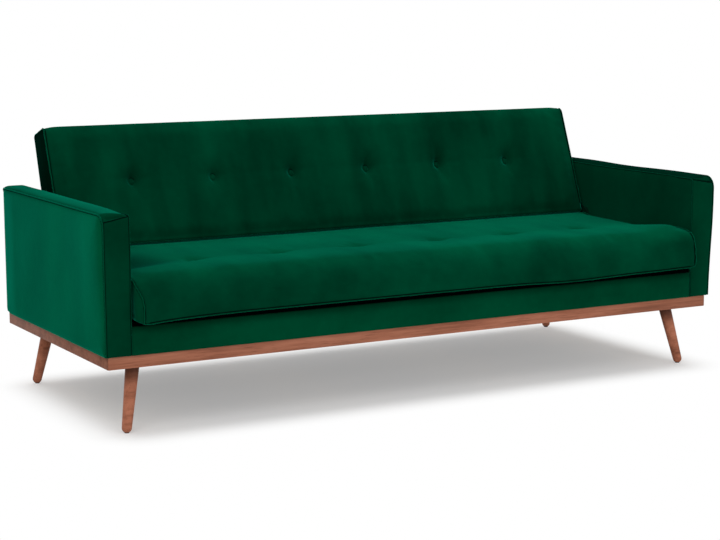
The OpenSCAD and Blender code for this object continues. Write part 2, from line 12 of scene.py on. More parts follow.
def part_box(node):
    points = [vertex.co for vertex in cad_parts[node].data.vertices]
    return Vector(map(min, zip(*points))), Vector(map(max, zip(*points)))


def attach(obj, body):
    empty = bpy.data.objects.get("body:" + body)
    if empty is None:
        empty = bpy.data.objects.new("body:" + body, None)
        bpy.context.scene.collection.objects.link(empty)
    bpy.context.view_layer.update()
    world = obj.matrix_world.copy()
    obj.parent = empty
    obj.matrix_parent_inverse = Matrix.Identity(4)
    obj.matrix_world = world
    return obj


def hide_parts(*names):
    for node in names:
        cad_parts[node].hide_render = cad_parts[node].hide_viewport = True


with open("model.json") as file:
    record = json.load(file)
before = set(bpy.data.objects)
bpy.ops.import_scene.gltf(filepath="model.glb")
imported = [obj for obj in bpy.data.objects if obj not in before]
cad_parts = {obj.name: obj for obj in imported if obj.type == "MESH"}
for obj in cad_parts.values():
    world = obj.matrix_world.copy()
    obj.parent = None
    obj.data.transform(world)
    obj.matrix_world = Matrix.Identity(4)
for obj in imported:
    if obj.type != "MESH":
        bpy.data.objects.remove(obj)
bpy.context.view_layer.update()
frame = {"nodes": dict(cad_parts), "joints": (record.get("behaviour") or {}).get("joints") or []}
nodes = frame["nodes"]
bpy.ops.object.select_all(action="DESELECT")

# ---- Camera ----
# A long lens, a little above the back and off to the left of the sofa's front, that
# looks slightly down.
VIEW_TURN = math.radians(29.188)
VIEW_DIP = math.radians(8.644)
VIEW_ROLL = math.radians(0.164)
bpy.ops.object.camera_add(location=(-2.8177, -4.9948, 1.2157))
camera = bpy.context.object
camera.rotation_euler = (math.pi / 2 - VIEW_DIP, VIEW_ROLL, -VIEW_TURN)
camera.data.lens = 89.16
camera.data.sensor_width = 36
bpy.context.scene.camera = camera


# ---- Legs ----
# Four turned legs of stained hardwood, tapered and splayed, with rounded feet.
# Each is screwed to a steel plate by a hanger bolt and stands on a small plastic glide.
ALONG, DEPTH, UP = 0, 1, 2


class Flow:
    """A value on its way through a material. Sums on it add Math nodes."""

    def __init__(self, finish, socket):
        self.finish, self.socket = finish, socket

    def math(self, operation, *others):
        inputs = dict(enumerate((self, *others)))
        return self.finish.node("Math", inputs, operation=operation)

    def __add__(self, other):
        return self.math("ADD", other)

    def __sub__(self, other):
        return self.math("SUBTRACT", other)

    def __mul__(self, other):
        return self.math("MULTIPLY", other)

    def __rsub__(self, other):
        return self.math("MULTIPLY", -1.0).math("ADD", other)

    __radd__ = __add__
    __rmul__ = __mul__

    def step(self, low, high):
        """0 below low, 1 above high, and smooth between them."""
        return self.finish.node(
            "MapRange", {"Value": self, "From Min": low, "From Max": high}, interpolation_type="SMOOTHSTEP"
        )


class Finish:
    """A new material, or a new world. node() adds one node to it and returns its result."""

    def __init__(self, name, kind="materials"):
        self.data = getattr(bpy.data, kind).new(name)
        self.data.use_nodes = True
        self.tree = self.data.node_tree
        self.tree.nodes.clear()

    def node(self, kind, inputs=None, out=0, stops=None, **settings):
        made = self.tree.nodes.new("ShaderNode" + kind)
        for key, value in settings.items():
            setattr(made, key, value)
        if stops:
            ramp = made.color_ramp
            while len(ramp.elements) < len(stops):
                ramp.elements.new(0.5)
            for element, (place, colour) in zip(ramp.elements, stops):
                element.position = place
                element.color = (*colour, 1)
        for key, value in (inputs or {}).items():
            if isinstance(value, Flow):
                self.tree.links.new(value.socket, made.inputs[key])
            else:
                made.inputs[key].default_value = value
        return Flow(self, made.outputs[out]) if made.outputs else None

    def place(self, scale=(1, 1, 1), turn=(0, 0, 0), move=(0, 0, 0)):
        """Object coordinates, turned and stretched by a Mapping node."""
        where = self.node("TexCoord", out="Object")
        return self.node("Mapping", {"Vector": where, "Scale": scale, "Rotation": turn, "Location": move})

    def reach(self, axis):
        """Distance from the origin along one axis."""
        return self.node("SeparateXYZ", {0: self.node("TexCoord", out="Object")}, out=axis)

    def noise(self, where, scale, detail=2.0, rough=0.5):
        inputs = {"Vector": where, "Scale": scale, "Detail": detail, "Roughness": rough}
        return self.node("TexNoise", inputs, noise_dimensions="3D")

    def blend(self, share, low, high):
        """Colour between low and high."""
        inputs = {0: share, 6: low, 7: high}
        return self.node("Mix", inputs, out=2, data_type="RGBA")

    def bump(self, height, strength, distance):
        inputs = {"Height": height, "Strength": strength, "Distance": distance}
        return self.node("Bump", inputs)

    def done(self, inputs):
        """The Principled shader, with plain values on its own sockets."""
        shader = self.node("BsdfPrincipled", inputs)
        self.node("OutputMaterial", {"Surface": shader})
        return self.data


def colour(red, green, blue, tone=1.0):
    """Linear RGBA from sRGB in 0 to 255, each part times tone."""
    linear = []
    for part in (red * tone, green * tone, blue * tone):
        low = part / 255 / 12.92
        linear.append(low if part < 10.3 else ((part / 255 + 0.055) / 1.055) ** 2.4)
    return (*linear, 1)


SHADE_FADE = 0.06


def stained_wood(name, turn=(0, 0, 0), move=(0, 0, 0), tone=1.0, shade_above=None):
    """Red-brown stain over open grain that runs along X before the turn, with painted shade above a
    height.
    """
    wood = Finish(name)
    rings = wood.noise(wood.place((2.2, 26, 26), turn, move), 1.0, 3.0, 0.6)
    flame = wood.noise(wood.place((5, 110, 110), turn, move), 1.0, 3.0, 0.55)
    pores = wood.noise(wood.place((24, 620, 620), turn, move), 1.0, 2.0, 0.5).step(0.56, 0.72)
    body = wood.node(
        "ValToRGB",
        {0: rings * 0.65 + flame * 0.35},
        stops=[
            (0.30, colour(106, 62, 45, tone)[:3]),
            (0.46, colour(142, 88, 66, tone)[:3]),
            (0.58, colour(158, 101, 78, tone)[:3]),
            (0.74, colour(128, 76, 56, tone)[:3]),
        ],
    )
    grained = wood.blend(pores * 0.45, body, colour(84, 46, 36, tone))
    # Painted shade: the wood goes dark toward a height, where the plinth shades the tops of the legs.
    if shade_above:
        shade = wood.reach(UP).step(shade_above - SHADE_FADE, shade_above) * 0.85
        grained = wood.blend(shade, grained, colour(58, 32, 23))
    relief = wood.bump(rings * 0.3 - pores, 0.35, 0.0004)
    return wood.done({"Base Color": grained, "Roughness": 0.55 + pores * 0.2, "Normal": relief,
                      "Specular IOR Level": 0.10})


def dress(name, material):
    """Gives a CAD node its finish."""
    made = nodes[name]
    for place in made.material_slots:
        place.material = material


def rubber(name):
    pad = Finish(name)
    grit = pad.noise(pad.place(), 900.0)
    return pad.done({"Base Color": pad.blend(grit, colour(22, 22, 23), colour(40, 40, 41)),
                     "Roughness": 0.7 + grit * 0.15, "Normal": pad.bump(grit, 0.3, 0.0003)})


def steel(name, tint, rough, metal, dirt=colour(70, 66, 60)):
    part = Finish(name)
    scratch = part.noise(part.place((90, 600, 90)), 1.0, 3.0)
    stain = part.noise(part.place(), 60.0, 2.0)
    return part.done({"Base Color": part.blend(stain * 0.35, tint, dirt), "Metallic": metal,
                      "Roughness": rough + scratch * 0.15, "Normal": part.bump(scratch, 0.15, 0.0002),
                      "Specular IOR Level": 0.5 if metal else 0.02})


# The legs get painted shade at their tops, under the plinth.
LEG_TONE, LEG_SHADE_ABOVE = 1.1, 0.18
SPLAY_X, SPLAY_Y = 37, 35
for side, sign in (("left", -1), ("right", 1)):
    for end, run in (("front", -1), ("rear", 1)):
        turn = (0, math.pi / 2, math.atan2(run * SPLAY_Y, sign * SPLAY_X))
        move = (sign * 3, run * 5, 0)
        grain = stained_wood(f"leg_wood_{end}_{side}", turn, move, LEG_TONE, LEG_SHADE_ABOVE)
        dress(f"leg_{end}_{side}", grain)
black_rubber = rubber("black_rubber")
dress("leg_glides", black_rubber)
black_steel = steel("black_steel", colour(4, 5, 5), 0.7, 0.0, colour(9, 9, 9))
zinc = steel("zinc_plate", colour(176, 178, 180), 0.32, 1.0)
dress("leg_plates", black_steel)
for name in ("leg_plate_screws", "hanger_bolts"):
    dress(name, zinc)

# ---- Plinth ----
# Four boards of the same stained timber under the upholstery, mitred at the corners,
# with lightly eased edges.
PLINTH_EASE = 0.0014
# The short end boards are painted darker: painted shade on the plinth's ends.
SHORT_BOARD_SHADE = 0.86


def only(made):
    """Selects this object alone."""
    bpy.ops.object.select_all(action="DESELECT")
    made.select_set(True)
    bpy.context.view_layer.objects.active = made


def block(name, low, high):
    """A cube primitive from its lowest to its highest corner, with its object at the origin."""
    bpy.ops.object.select_all(action="DESELECT")
    bpy.ops.mesh.primitive_cube_add(size=1)
    made = bpy.context.object
    made.name = made.data.name = name
    low, high = Vector(low), Vector(high)
    made.data.transform(Matrix.LocRotScale((low + high) / 2, None, high - low))
    return made


def ease(made, width, segments=2):
    """Rounds all the edges of a plain board."""
    only(made)
    bevel = made.modifiers.new("ease", "BEVEL")
    bevel.width = width
    bevel.segments = segments
    bevel.limit_method = "ANGLE"
    bpy.ops.object.modifier_apply(modifier=bevel.name)
    bpy.ops.object.shade_smooth_by_angle(angle=math.radians(40))


def finish_piece(made, material, body, slot, *stands_for):
    """Gives a new piece its material and its body, and hides the CAD nodes that it stands for."""
    made.data.materials.clear()
    made.data.materials.append(material)
    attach(made, body)
    if stands_for:
        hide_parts(*stands_for)


def mitred(node, axis, grain):
    """A board the size of its CAD node, its ends cut back at 45 degrees on the inner face."""
    low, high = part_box(node)
    made = block(node + "_board", low, high)
    middle = (low + high) / 2
    across = 1 - axis
    thick = (high - low)[across]
    inner = -math.copysign(1, middle[across])
    for point in made.data.vertices:
        if (point.co[across] - middle[across]) * inner > 0:
            point.co[axis] -= math.copysign(thick, point.co[axis] - middle[axis])
    ease(made, PLINTH_EASE)
    finish_piece(made, grain, "base", "stained_wood", node)


long_grain = stained_wood("plinth_wood_long", (0, 0, 0), (1.3, 0.4, 0.2))
short_grain = stained_wood("plinth_wood_short", (0, 0, math.pi / 2), (0.7, 0.9, 0.5), SHORT_BOARD_SHADE)
for node in ("plinth_front", "plinth_rear"):
    mitred(node, ALONG, long_grain)
for node in ("plinth_left", "plinth_right"):
    mitred(node, DEPTH, short_grain)


# ---- Bedding box and arm frames ----
# Corner blocks, bearers and arm frames of plain softwood and ply, unfinished, bolted
# together, with rubber rests for the seat and the back along the front and rear boards.
def raw_wood(name, turn=(0, 0, 0)):
    wood = Finish(name)
    rings = wood.noise(wood.place((1.5, 22, 22), turn), 1.0, 3.0)
    fibre = wood.noise(wood.place((12, 300, 300), turn), 1.0, 2.0)
    knots = wood.noise(wood.place((3, 9, 9), turn), 1.0, 1.0).step(0.68, 0.78)
    body = wood.blend(rings, colour(196, 162, 112), colour(224, 196, 150))
    knotted = wood.blend(knots * 0.6, body, colour(140, 92, 52))
    return wood.done({"Base Color": knotted, "Roughness": 0.6 + fibre * 0.2,
                      "Normal": wood.bump(fibre + rings, 0.3, 0.0004)})


long_ply = raw_wood("raw_wood_long")
short_ply = raw_wood("raw_wood_short", (0, 0, math.pi / 2))
dress("corner_blocks", long_ply)
dress("cross_bearers", short_ply)
for name in ("seat_bumpers", "back_bumpers"):
    dress(name, black_rubber)
for side in ("left", "right"):
    for layer in ("arm_frame_", "arm_panels_"):
        dress(layer + side, short_ply)
for name in ("arm_bolts", "arm_tee_nuts"):
    dress(name, zinc)


# ---- Arms ----
# Box arms: hardboard over a timber frame, padded and covered in velvet panels that are
# joined by a welted seam round each side face, with a boxing strip over the top and front.
def velvet(name, streaks, seed, drift=1.0, sheen=0.62, tone=1.0, fuzz=0.30, light_slopes=(), shade_patches=()):
    """Short-pile emerald velvet. The nap lies in soft patches and streaks, so its colour drifts,
    and it lights up where it is seen along its face. Painted light and shade make it lighter or
    darker along each slope (axis, low, high, gain), and painted shade darkens each patch (centre, scale)."""
    cloth = Finish(name)
    move = (seed * 3.1, seed * 1.7, seed * 2.3)
    patch = cloth.noise(cloth.place((3.2, 3.2, 3.2), move=move), 1.0, 2.0)
    streak = cloth.noise(cloth.place(streaks, move=move), 1.0, 2.5, 0.55)
    crush = cloth.noise(cloth.place((38, 38, 38), move=move), 1.0, 3.0, 0.6)
    pile = cloth.noise(cloth.place(), 1500.0, 2.0, 0.7)
    lie = (patch - 0.5) * 0.9 + (streak - 0.5)
    share = (lie * drift + (crush - 0.5) * 0.2 + (pile - 0.5) * 0.06 + 0.5).step(0.0, 1.0)
    body = cloth.blend(share, colour(0, 30, 17, tone), colour(0, 60, 38, tone))
    # Painted light and shade: the colour is scaled along each slope.
    for axis, low, high, gain in light_slopes:
        level = cloth.reach(axis).step(low, high) * (gain - 1) + 1
        body = cloth.node("VectorMath", {0: body, "Scale": level}, operation="SCALE")
    # Painted shade: the colour goes dark in each patch.
    for centre, scale in shade_patches:
        where = cloth.node("TexCoord", out="Object")
        where = cloth.node("VectorMath", {0: where, 1: centre}, operation="SUBTRACT")
        where = cloth.node("VectorMath", {0: where, 1: scale}, operation="MULTIPLY")
        away = cloth.node("VectorMath", {0: where}, out=1, operation="LENGTH")
        body = cloth.blend(away.step(-0.4, 1.0), colour(0, 18, 11), body)
    height = crush * 0.5 + pile * 0.015
    return cloth.done({"Base Color": body, "Roughness": 0.8 + pile * 0.15,
                       "Normal": cloth.bump(height, 0.35, 0.0012), "IOR": 1.02,
                       "Specular IOR Level": 0.0, "Sheen Weight": sheen, "Sheen Roughness": fuzz,
                       "Sheen Tint": (0.006, 0.60, 0.38, 1)})


def remesh(made, size):
    """Even quads all over, small enough to drape."""
    only(made)
    voxels = made.modifiers.new("even", "REMESH")
    voxels.mode = "VOXEL"
    voxels.voxel_size = size
    bpy.ops.object.modifier_apply(modifier=voxels.name)
    bpy.ops.object.shade_smooth()


def round_edges(made, wanted, radius, segments=8):
    """Bevels the edges that wanted(a, b) picks by their end points."""
    only(made)
    bpy.ops.object.mode_set(mode="EDIT")
    bpy.ops.mesh.select_all(action="DESELECT")
    mesh = bmesh.from_edit_mesh(made.data)
    for edge in mesh.edges:
        if wanted(edge.verts[0].co, edge.verts[1].co):
            edge.select = True
    bmesh.update_edit_mesh(made.data)
    bpy.ops.mesh.bevel(offset=radius, segments=segments, affect="EDGES")
    bpy.ops.object.mode_set(mode="OBJECT")


def smooth(made, rounds, factor=0.5):
    """Evens out the small steps of a mesh."""
    only(made)
    soften = made.modifiers.new("soften", "SMOOTH")
    soften.iterations = rounds
    soften.factor = factor
    bpy.ops.object.modifier_apply(modifier=soften.name)


def subdivide(made):
    """Adds one level of rounded subdivision."""
    only(made)
    finer = made.modifiers.new("finer", "SUBSURF")
    finer.levels = finer.render_levels = 1
    bpy.ops.object.modifier_apply(modifier=finer.name)


def welt(name, points, radius, closed, body, material):
    """A thin cord of rolled velvet sewn along a seam."""
    bpy.ops.object.select_all(action="DESELECT")
    bpy.ops.mesh.primitive_circle_add(vertices=len(points), radius=1)
    made = bpy.context.object
    made.name = made.data.name = name
    for vertex, point in zip(made.data.vertices, points):
        vertex.co = point
    if not closed:
        bpy.ops.object.mode_set(mode="EDIT")
        bpy.ops.mesh.select_all(action="DESELECT")
        mesh = bmesh.from_edit_mesh(made.data)
        mesh.verts.ensure_lookup_table()
        loop = mesh.edges.get((mesh.verts[0], mesh.verts[-1]))
        mesh.edges.remove(loop)
        bmesh.update_edit_mesh(made.data)
        bpy.ops.object.mode_set(mode="OBJECT")
    bpy.ops.object.convert(target="CURVE")
    made = bpy.context.object
    made.data.bevel_depth = radius
    made.data.bevel_resolution = 2
    made.data.use_fill_caps = not closed
    bpy.ops.object.convert(target="MESH")
    made = bpy.context.object
    bpy.ops.object.shade_smooth()
    finish_piece(made, material, body, "velvet")
    return made


def arc(centre, radius, first, last, steps):
    """Points on an arc in a plane, angles in degrees."""
    turns = [math.radians(first + (last - first) * i / steps) for i in range(steps + 1)]
    return [(centre[0] + radius * math.cos(t), centre[1] + radius * math.sin(t)) for t in turns]


def along(points, gap):
    """The same open line with points no further apart than gap."""
    out = [Vector(points[0])]
    for a, b in zip(points, points[1:]):
        a, b = Vector(a), Vector(b)
        count = max(1, math.ceil((b - a).length / gap))
        out += [a.lerp(b, i / count) for i in range(1, count + 1)]
    return out


def lay(surface, points, off=0.0006, around=0.006):
    """Moves a planned seam line onto a finished case, and then off along its mean normal there."""
    mesh = surface.data
    tree = BVHTree.FromPolygons([v.co for v in mesh.vertices], [p.vertices for p in mesh.polygons])
    out = []
    for point in points:
        spot = tree.find_nearest(Vector(point))[0]
        normal = sum((found[1] for found in tree.find_nearest_range(spot, around)), Vector())
        out.append(spot + normal.normalized() * off)
    return out


# Near-black cords laid beside the welts, along the cross seams and round the back's buttons: painted
# shadow in the seams and creases.
seam_shadow_finish = Finish("seam_shadow_cord")
speckle = seam_shadow_finish.noise(seam_shadow_finish.place(), 700.0)
seam_shadow_cord = seam_shadow_finish.done({"Base Color": seam_shadow_finish.blend(speckle, colour(0, 12, 7), colour(0, 20, 12)),
                           "Roughness": 0.85 + speckle * 0.1, "IOR": 1.02,
                           "Specular IOR Level": 0.0, "Normal": seam_shadow_finish.bump(speckle, 0.3, 0.0004)})


FAR = 9.0


def nearest(outline, y, z):
    """Depth inside a panel's outline (front, top, then rear), and the closest point on it."""
    best = (FAR, y, z)
    for (ay, az), (by, bz) in zip(outline, outline[1:] + outline[:1]):
        ey, ez = by - ay, bz - az
        run = min(1.0, max(0.0, ((y - ay) * ey + (z - az) * ez) / (ey * ey + ez * ez)))
        py, pz = ay + ey * run, az + ez * run
        away = math.hypot(y - py, z - pz)
        if away < abs(best[0]):
            outside = ey * (z - az) - ez * (y - ay) > 0
            best = (-away if outside else away, py, pz)
    return best


def crisp_ends(made, outline, half, middle=0.0, reach=0.014, share=0.85, until=FAR):
    """Squares up the soft edge between a case and its flat end panels."""
    for point in made.data.vertices:
        co = point.co
        side = half - abs(co.x - middle)
        if side > reach or co.y > until:
            continue
        away, y, z = nearest(outline, co.y, co.z)
        deep_side, deep = reach - side, reach - away
        most = max(deep_side, deep)
        if deep > 0 and most < reach and away > 0.00001:
            more = share * (reach / most - 1)
            co.x += math.copysign(deep_side * more, co.x - middle)
            co.y += (y - co.y) / away * deep * more
            co.z += (z - co.z) / away * deep * more


def crisp_edge(made, y, z, toward_y, toward_z, reach=0.014, share=0.85):
    """Squares up a long edge along X at this place of the profile."""
    for point in made.data.vertices:
        co = point.co
        deep_y, deep_z = reach - (y - co.y) * toward_y, reach - (z - co.z) * toward_z
        most = max(deep_y, deep_z)
        if deep_y > 0 and deep_z > 0 and most < reach:
            more = share * (reach / most - 1)
            co.y += toward_y * deep_y * more
            co.z += toward_z * deep_z * more


def panelled(made, outline, half, middle, low_side, high_side):
    """Puts other velvet on the end panels, up to the seam: one for the low side, one for the high."""
    made.data.materials.append(low_side)
    made.data.materials.append(high_side)
    for face in made.data.polygons:
        x, y, z = face.center
        side = half - abs(x - middle)
        if side < 0.012 and abs(face.normal.x) > 0.5 and nearest(outline, y, z)[0] > side:
            face.material_index = 1 if x < middle else 2


def piping(name, surface, points, radius, body, material, place=None):
    """A welt bedded in the surface, over a dark cord that paints the shadow of its seam."""
    cords = []
    for part, share, sink, finish in (("", 1.0, 0.85, material), ("_seam", 1.8, -0.7, seam_shadow_cord)):
        line = lay(surface, points, radius * sink)
        if place:
            line = [place @ point for point in line]
        cords.append(welt(name + part, line, radius * share, False, body, finish))
    return cords


# A lighter copy of the velvet for the welts: a painted highlight along each cord.
lit_cord_velvet = velvet("velvet_cord", (9, 9, 9), 9.0, 0.3, 0.70, 1.15)

ARM_INSET, ARM_TOP_INSET = 0.0005, 0.003
INNER_ROLL, OUTER_ROLL = 0.012, 0.036
REAR_ROLL = 0.016
ARM_VOXEL = 0.0065
ARM_WELT = 0.0021
PANEL_RISE, FRONT_PANEL_RISE, INNER_RISE = 0.0055, 0.007, 0.003
TOP_RISE, FRONT_RISE, REAR_RISE = 0.009, 0.005, 0.001
TOP_DROOP = 0.006
ON_FACE = 0.002
SWELL = {"left": 0.001, "right": 0.012}
REAR_LIFT = {"left": 0.0, "right": 0.004}
# Lit and shaded copies of one velvet, for painted light and shade: the outer panels lighter, lighter still
# toward the front and darker at the rear; the boxing and the insides darker, and the right arm's top
# darkest.
ARM_PAINTED_LIGHT = (DEPTH, 0.32, 0.459, 0.74), (DEPTH, 0.25, -0.30, 1.12), (DEPTH, -0.20, -0.40, 1.22)
lit_arm_velvet = velvet("velvet_arms", (5, 5, 2.2), 1.0, 0.5, 0.80, 1.27, light_slopes=ARM_PAINTED_LIGHT)
strip_velvet = velvet("velvet_boxing", (3, 6, 3), 4.0, 0.5, 0.42)
shaded_velvet = velvet("velvet_arms_inside", (5, 5, 2.2), 5.0, 0.6, 0.42, 1.02)
shaded_top_velvet = velvet("velvet_arm_far", (3, 6, 3), 10.0, 0.5, 0.02, 0.58)


def ramp(share):
    """Smooth 0 to 1."""
    share = min(1.0, max(0.0, share))
    return share * share * (3 - 2 * share)


def pillow(distance, rise, reach):
    """Height of padding at this distance from a seam: a quick lift beside it, then a slow one."""
    distance = max(0.0, distance)
    beside, wide = 1 - math.exp(-distance / 0.005), 1 - math.exp(-distance / reach)
    return rise * (0.45 * beside + 0.55 * wide)


for side, sign in (("left", -1), ("right", 1)):
    low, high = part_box("arm_cover_" + side)
    arm_low = low + Vector((ARM_INSET, ARM_INSET, ARM_INSET))
    arm_high = high - Vector((ARM_INSET, ARM_INSET, ARM_TOP_INSET))
    outer_x, inner_x = (arm_low.x, arm_high.x) if sign < 0 else (arm_high.x, arm_low.x)
    middle_x, half_x = (outer_x + inner_x) / 2, abs(outer_x - inner_x) / 2
    arm = block("arm_" + side, arm_low, arm_high)
    round_edges(arm, lambda a, b: a.y > 0 and b.y > 0 and a.x == b.x and a.z != b.z, REAR_ROLL, 5)
    remesh(arm, ARM_VOXEL)
    smooth(arm, 1)
    subdivide(arm)
    front_edge, rear_edge = [[(y, arm_low.z), (y, arm_high.z)] for y in (arm_low.y, arm_high.y)]
    crisp_ends(arm, front_edge + rear_edge[::-1], half_x, middle_x, 0.010, 0.85, arm_high.y - 0.03)
    crisp_edge(arm, arm_high.y, arm_high.z, 1, 1, 0.010, 0.5)

    def roll_radius(x):
        share = ramp((x - inner_x) / (outer_x - inner_x))
        return INNER_ROLL + (OUTER_ROLL - INNER_ROLL) * share

    def rolled(co):
        """Wraps the square front top edge over its roll."""
        radius = roll_radius(co.x)
        back, down = co.y - arm_low.y - radius, arm_high.z - co.z - radius
        if back < 0 and down < 0:
            reach = max(-back, -down)
            length = math.hypot(back, down)
            co.y = arm_low.y + radius + back * reach / length
            co.z = arm_high.z - radius - down * reach / length

    for point in arm.data.vertices:
        co = point.co
        from_front, from_rear = co.y - arm_low.y, arm_high.y - co.y
        from_top, from_low = arm_high.z - co.z, co.z - arm_low.z
        from_side = min(co.x - arm_low.x, arm_high.x - co.x)
        outside = abs(co.x - outer_x) < 0.02
        wave = noise.noise(Vector((co.x * 5, co.y * 7, co.z * 7))) * 0.0012
        rolled(co)
        if from_side < ON_FACE:
            edge = min(from_front, from_top, from_rear, from_low + 0.004)
            fuller = ramp(1 - from_front / 0.3) * ramp(from_low / 0.3)
            rise = PANEL_RISE + FRONT_PANEL_RISE * fuller if outside else INNER_RISE
            rise *= 0.3 + 0.7 * ramp(from_rear / 0.12)
            co.x += math.copysign(pillow(edge, rise, 0.022) + wave, co.x - middle_x)
        if from_top < ON_FACE:
            co.z += pillow(min(from_side, from_rear, from_front * 1.3), TOP_RISE, 0.014) + wave
            inward = 1 - abs(co.x - inner_x) / (2 * half_x)
            co.z -= TOP_DROOP * ramp(1 - from_front / 0.16) * inward
        if from_front < ON_FACE:
            edge = min(from_side, from_top * 0.8, from_low + 0.004)
            co.y -= pillow(edge, FRONT_RISE, 0.014) + wave
        if from_rear < ON_FACE:
            co.y += pillow(min(from_side, from_top, from_low + 0.004), REAR_RISE, 0.014)
    sewn = [arm]
    strip = strip_velvet if sign < 0 else shaded_velvet
    finish_piece(arm, strip, "base", "velvet", "arm_cover_" + side, "arm_padding_" + side)

    # A welt follows each side panel, and a seam crosses the roll between top and front, drawn as a dark
    # cord of painted shadow.
    for face, x in (("outer", outer_x), ("inner", inner_x)):
        roll = roll_radius(x)
        corner = arc((arm_low.y + roll, arm_high.z - roll), roll, 180, 90, 8)
        front_foot, rear_foot = (arm_low.y, arm_low.z + 0.002), (arm_high.y, arm_low.z + 0.002)
        outline = [front_foot, *corner, (arm_high.y, arm_high.z), rear_foot]
        path = along([(x, y, z) for y, z in outline], 0.012)
        radius = ARM_WELT if face == "outer" else ARM_WELT * 0.7
        cord = lit_cord_velvet if face == "outer" else strip
        sewn += piping(f"arm_welt_{face}_{side}", arm, path, radius, "base", cord)
    panels = (lit_arm_velvet, shaded_velvet) if sign < 0 else (shaded_velvet, lit_arm_velvet)
    panelled(arm, outline, half_x, middle_x, *panels)
    if sign > 0:
        # The top of the right arm gets the darkest copy of the velvet: painted shade.
        arm.data.materials.append(shaded_top_velvet)
        for face in arm.data.polygons:
            if face.normal.z > 0.5 and not face.material_index:
                face.material_index = 3
    cross = []
    for step in range(13):
        x = inner_x + (outer_x - inner_x) * step / 12
        cross.append((x, arm_low.y + 0.001, arm_high.z - 0.004 - 0.013 * step / 12))
    sewn.append(welt(f"arm_seam_{side}", lay(arm, cross, 0.0), 0.0018, False, "base", seam_shadow_cord))
    # The fuller padding swells the front of the arm outward and lifts its top toward the rear.
    for made in sewn:
        for point in made.data.vertices:
            co = point.co
            swell = ramp((co.z - 0.27) / 0.3) * ramp(1 - (co.y - arm_low.y) / 0.4) * SWELL[side]
            co.x += sign * swell * ramp((co.x - inner_x) / (outer_x - inner_x))
            co.z += REAR_LIFT[side] * ramp((co.z - 0.5) / 0.1) * ramp(co.y / 0.3)

# ---- Apron and rear panel ----
# Thin padding and velvet over the front and rear boards of the bedding box. The apron stops a little below
# the seat that overhangs it, so the black board shows in the gap, and its top is painted darker there as
# the seat's shadow.
SHADOW_UNDER_SEAT = ((UP, 0.285, 0.318, 0.50),)
FACING_EASE, FACING_INSET = 0.004, 0.0006
APRON_DROP, REAR_DROP = 0.014, 0.0005
apron_velvet = velvet("velvet_apron", (2, 5, 5), 8.0, 0.6, 0.62, 1.24, light_slopes=SHADOW_UNDER_SEAT)
for node, lowered in (("apron_cover", APRON_DROP), ("rear_cover", REAR_DROP)):
    low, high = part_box(node)
    low, high = low + Vector((0, FACING_INSET, 0)), high - Vector((0, FACING_INSET, lowered))
    made = block(node + "_velvet", low, high)
    ease(made, FACING_EASE, 3)
    finish_piece(made, apron_velvet, "base", "velvet", node)

# ---- Hinges ----
# Flat steel straps on each side, powder coated dark green: a bracket on the box, one leaf
# bolted to the seat frame and one to the back frame, on a common pin with nylon washers.
green_steel = steel("green_steel", colour(1, 30, 19), 0.7, 0.0, colour(1, 22, 14))
for side in ("left", "right"):
    for part in ("hinge_bracket_", "seat_leaf_", "back_leaf_"):
        dress(part + side, green_steel)
for name in ("pivot_pins", "seat_leaf_bolts", "back_leaf_bolts"):
    dress(name, green_steel)
dress("hinge_bracket_screws", zinc)
nylon = Finish("nylon")
cloud = nylon.noise(nylon.place(), 300.0)
nylon_black = nylon.done({"Base Color": nylon.blend(cloud, colour(20, 20, 20), colour(30, 30, 30)),
                          "Roughness": 0.45 + cloud * 0.1, "Normal": nylon.bump(cloud, 0.1, 0.0002)})
dress("pivot_washers", nylon_black)


# ---- Cushion cores and linings ----
# Welded tube frames in black powder coat, with zigzag springs in the seat and woven
# webbing in the back. Woven black lining closes the seat below and dresses the bedding box,
# near black, so that the gaps round the cushions show it as painted shade.
def woven(name, dark, light, pitch):
    cloth = Finish(name)
    where = cloth.place()
    weft = cloth.node("TexWave", {"Vector": where, "Scale": pitch}, out=1, bands_direction="X")
    warp = cloth.node("TexWave", {"Vector": where, "Scale": pitch}, out=1, bands_direction="Z")
    weave = weft * warp
    return cloth.done({"Base Color": cloth.blend(weave, dark, light), "Roughness": 0.8 + weave * 0.1,
                       "Specular IOR Level": 0.0, "Normal": cloth.bump(weave, 0.4, 0.0004)})


for name in ("seat_frame", "back_frame"):
    dress(name, black_steel)
for name in ("seat_springs", "seat_spring_clips"):
    dress(name, zinc)
# Near-black lining on the boards: real lining, and painted shade in the gaps round the cushions.
black_cloth = woven("black_cloth", colour(1, 1, 1), colour(4, 4, 4), 120.0)
for name in ("seat_dust_cloth", "back_webbing", "apron_board", "rear_board",
             "side_board_left", "side_board_right", "box_floor"):
    dress(name, black_cloth)


# ---- Seat cushion ----
# A bench cushion, foam in a velvet case, that overhangs the apron. Its top rolls over the
# front to a welted bottom seam, its end panels are welted, and six buttons tie it down.
LAST_STEP = 20
BUTTON_R = 0.0118
TIED = 0.012
CASE_INSET, CROWN_INSET = 0.001, 0.004


def lies_at(a, b, y, z):
    """Whether an edge along X has its ends a and b at this y and z."""
    return all(abs(end.y - y) < 0.001 and abs(end.z - z) < 0.001 for end in (a, b))


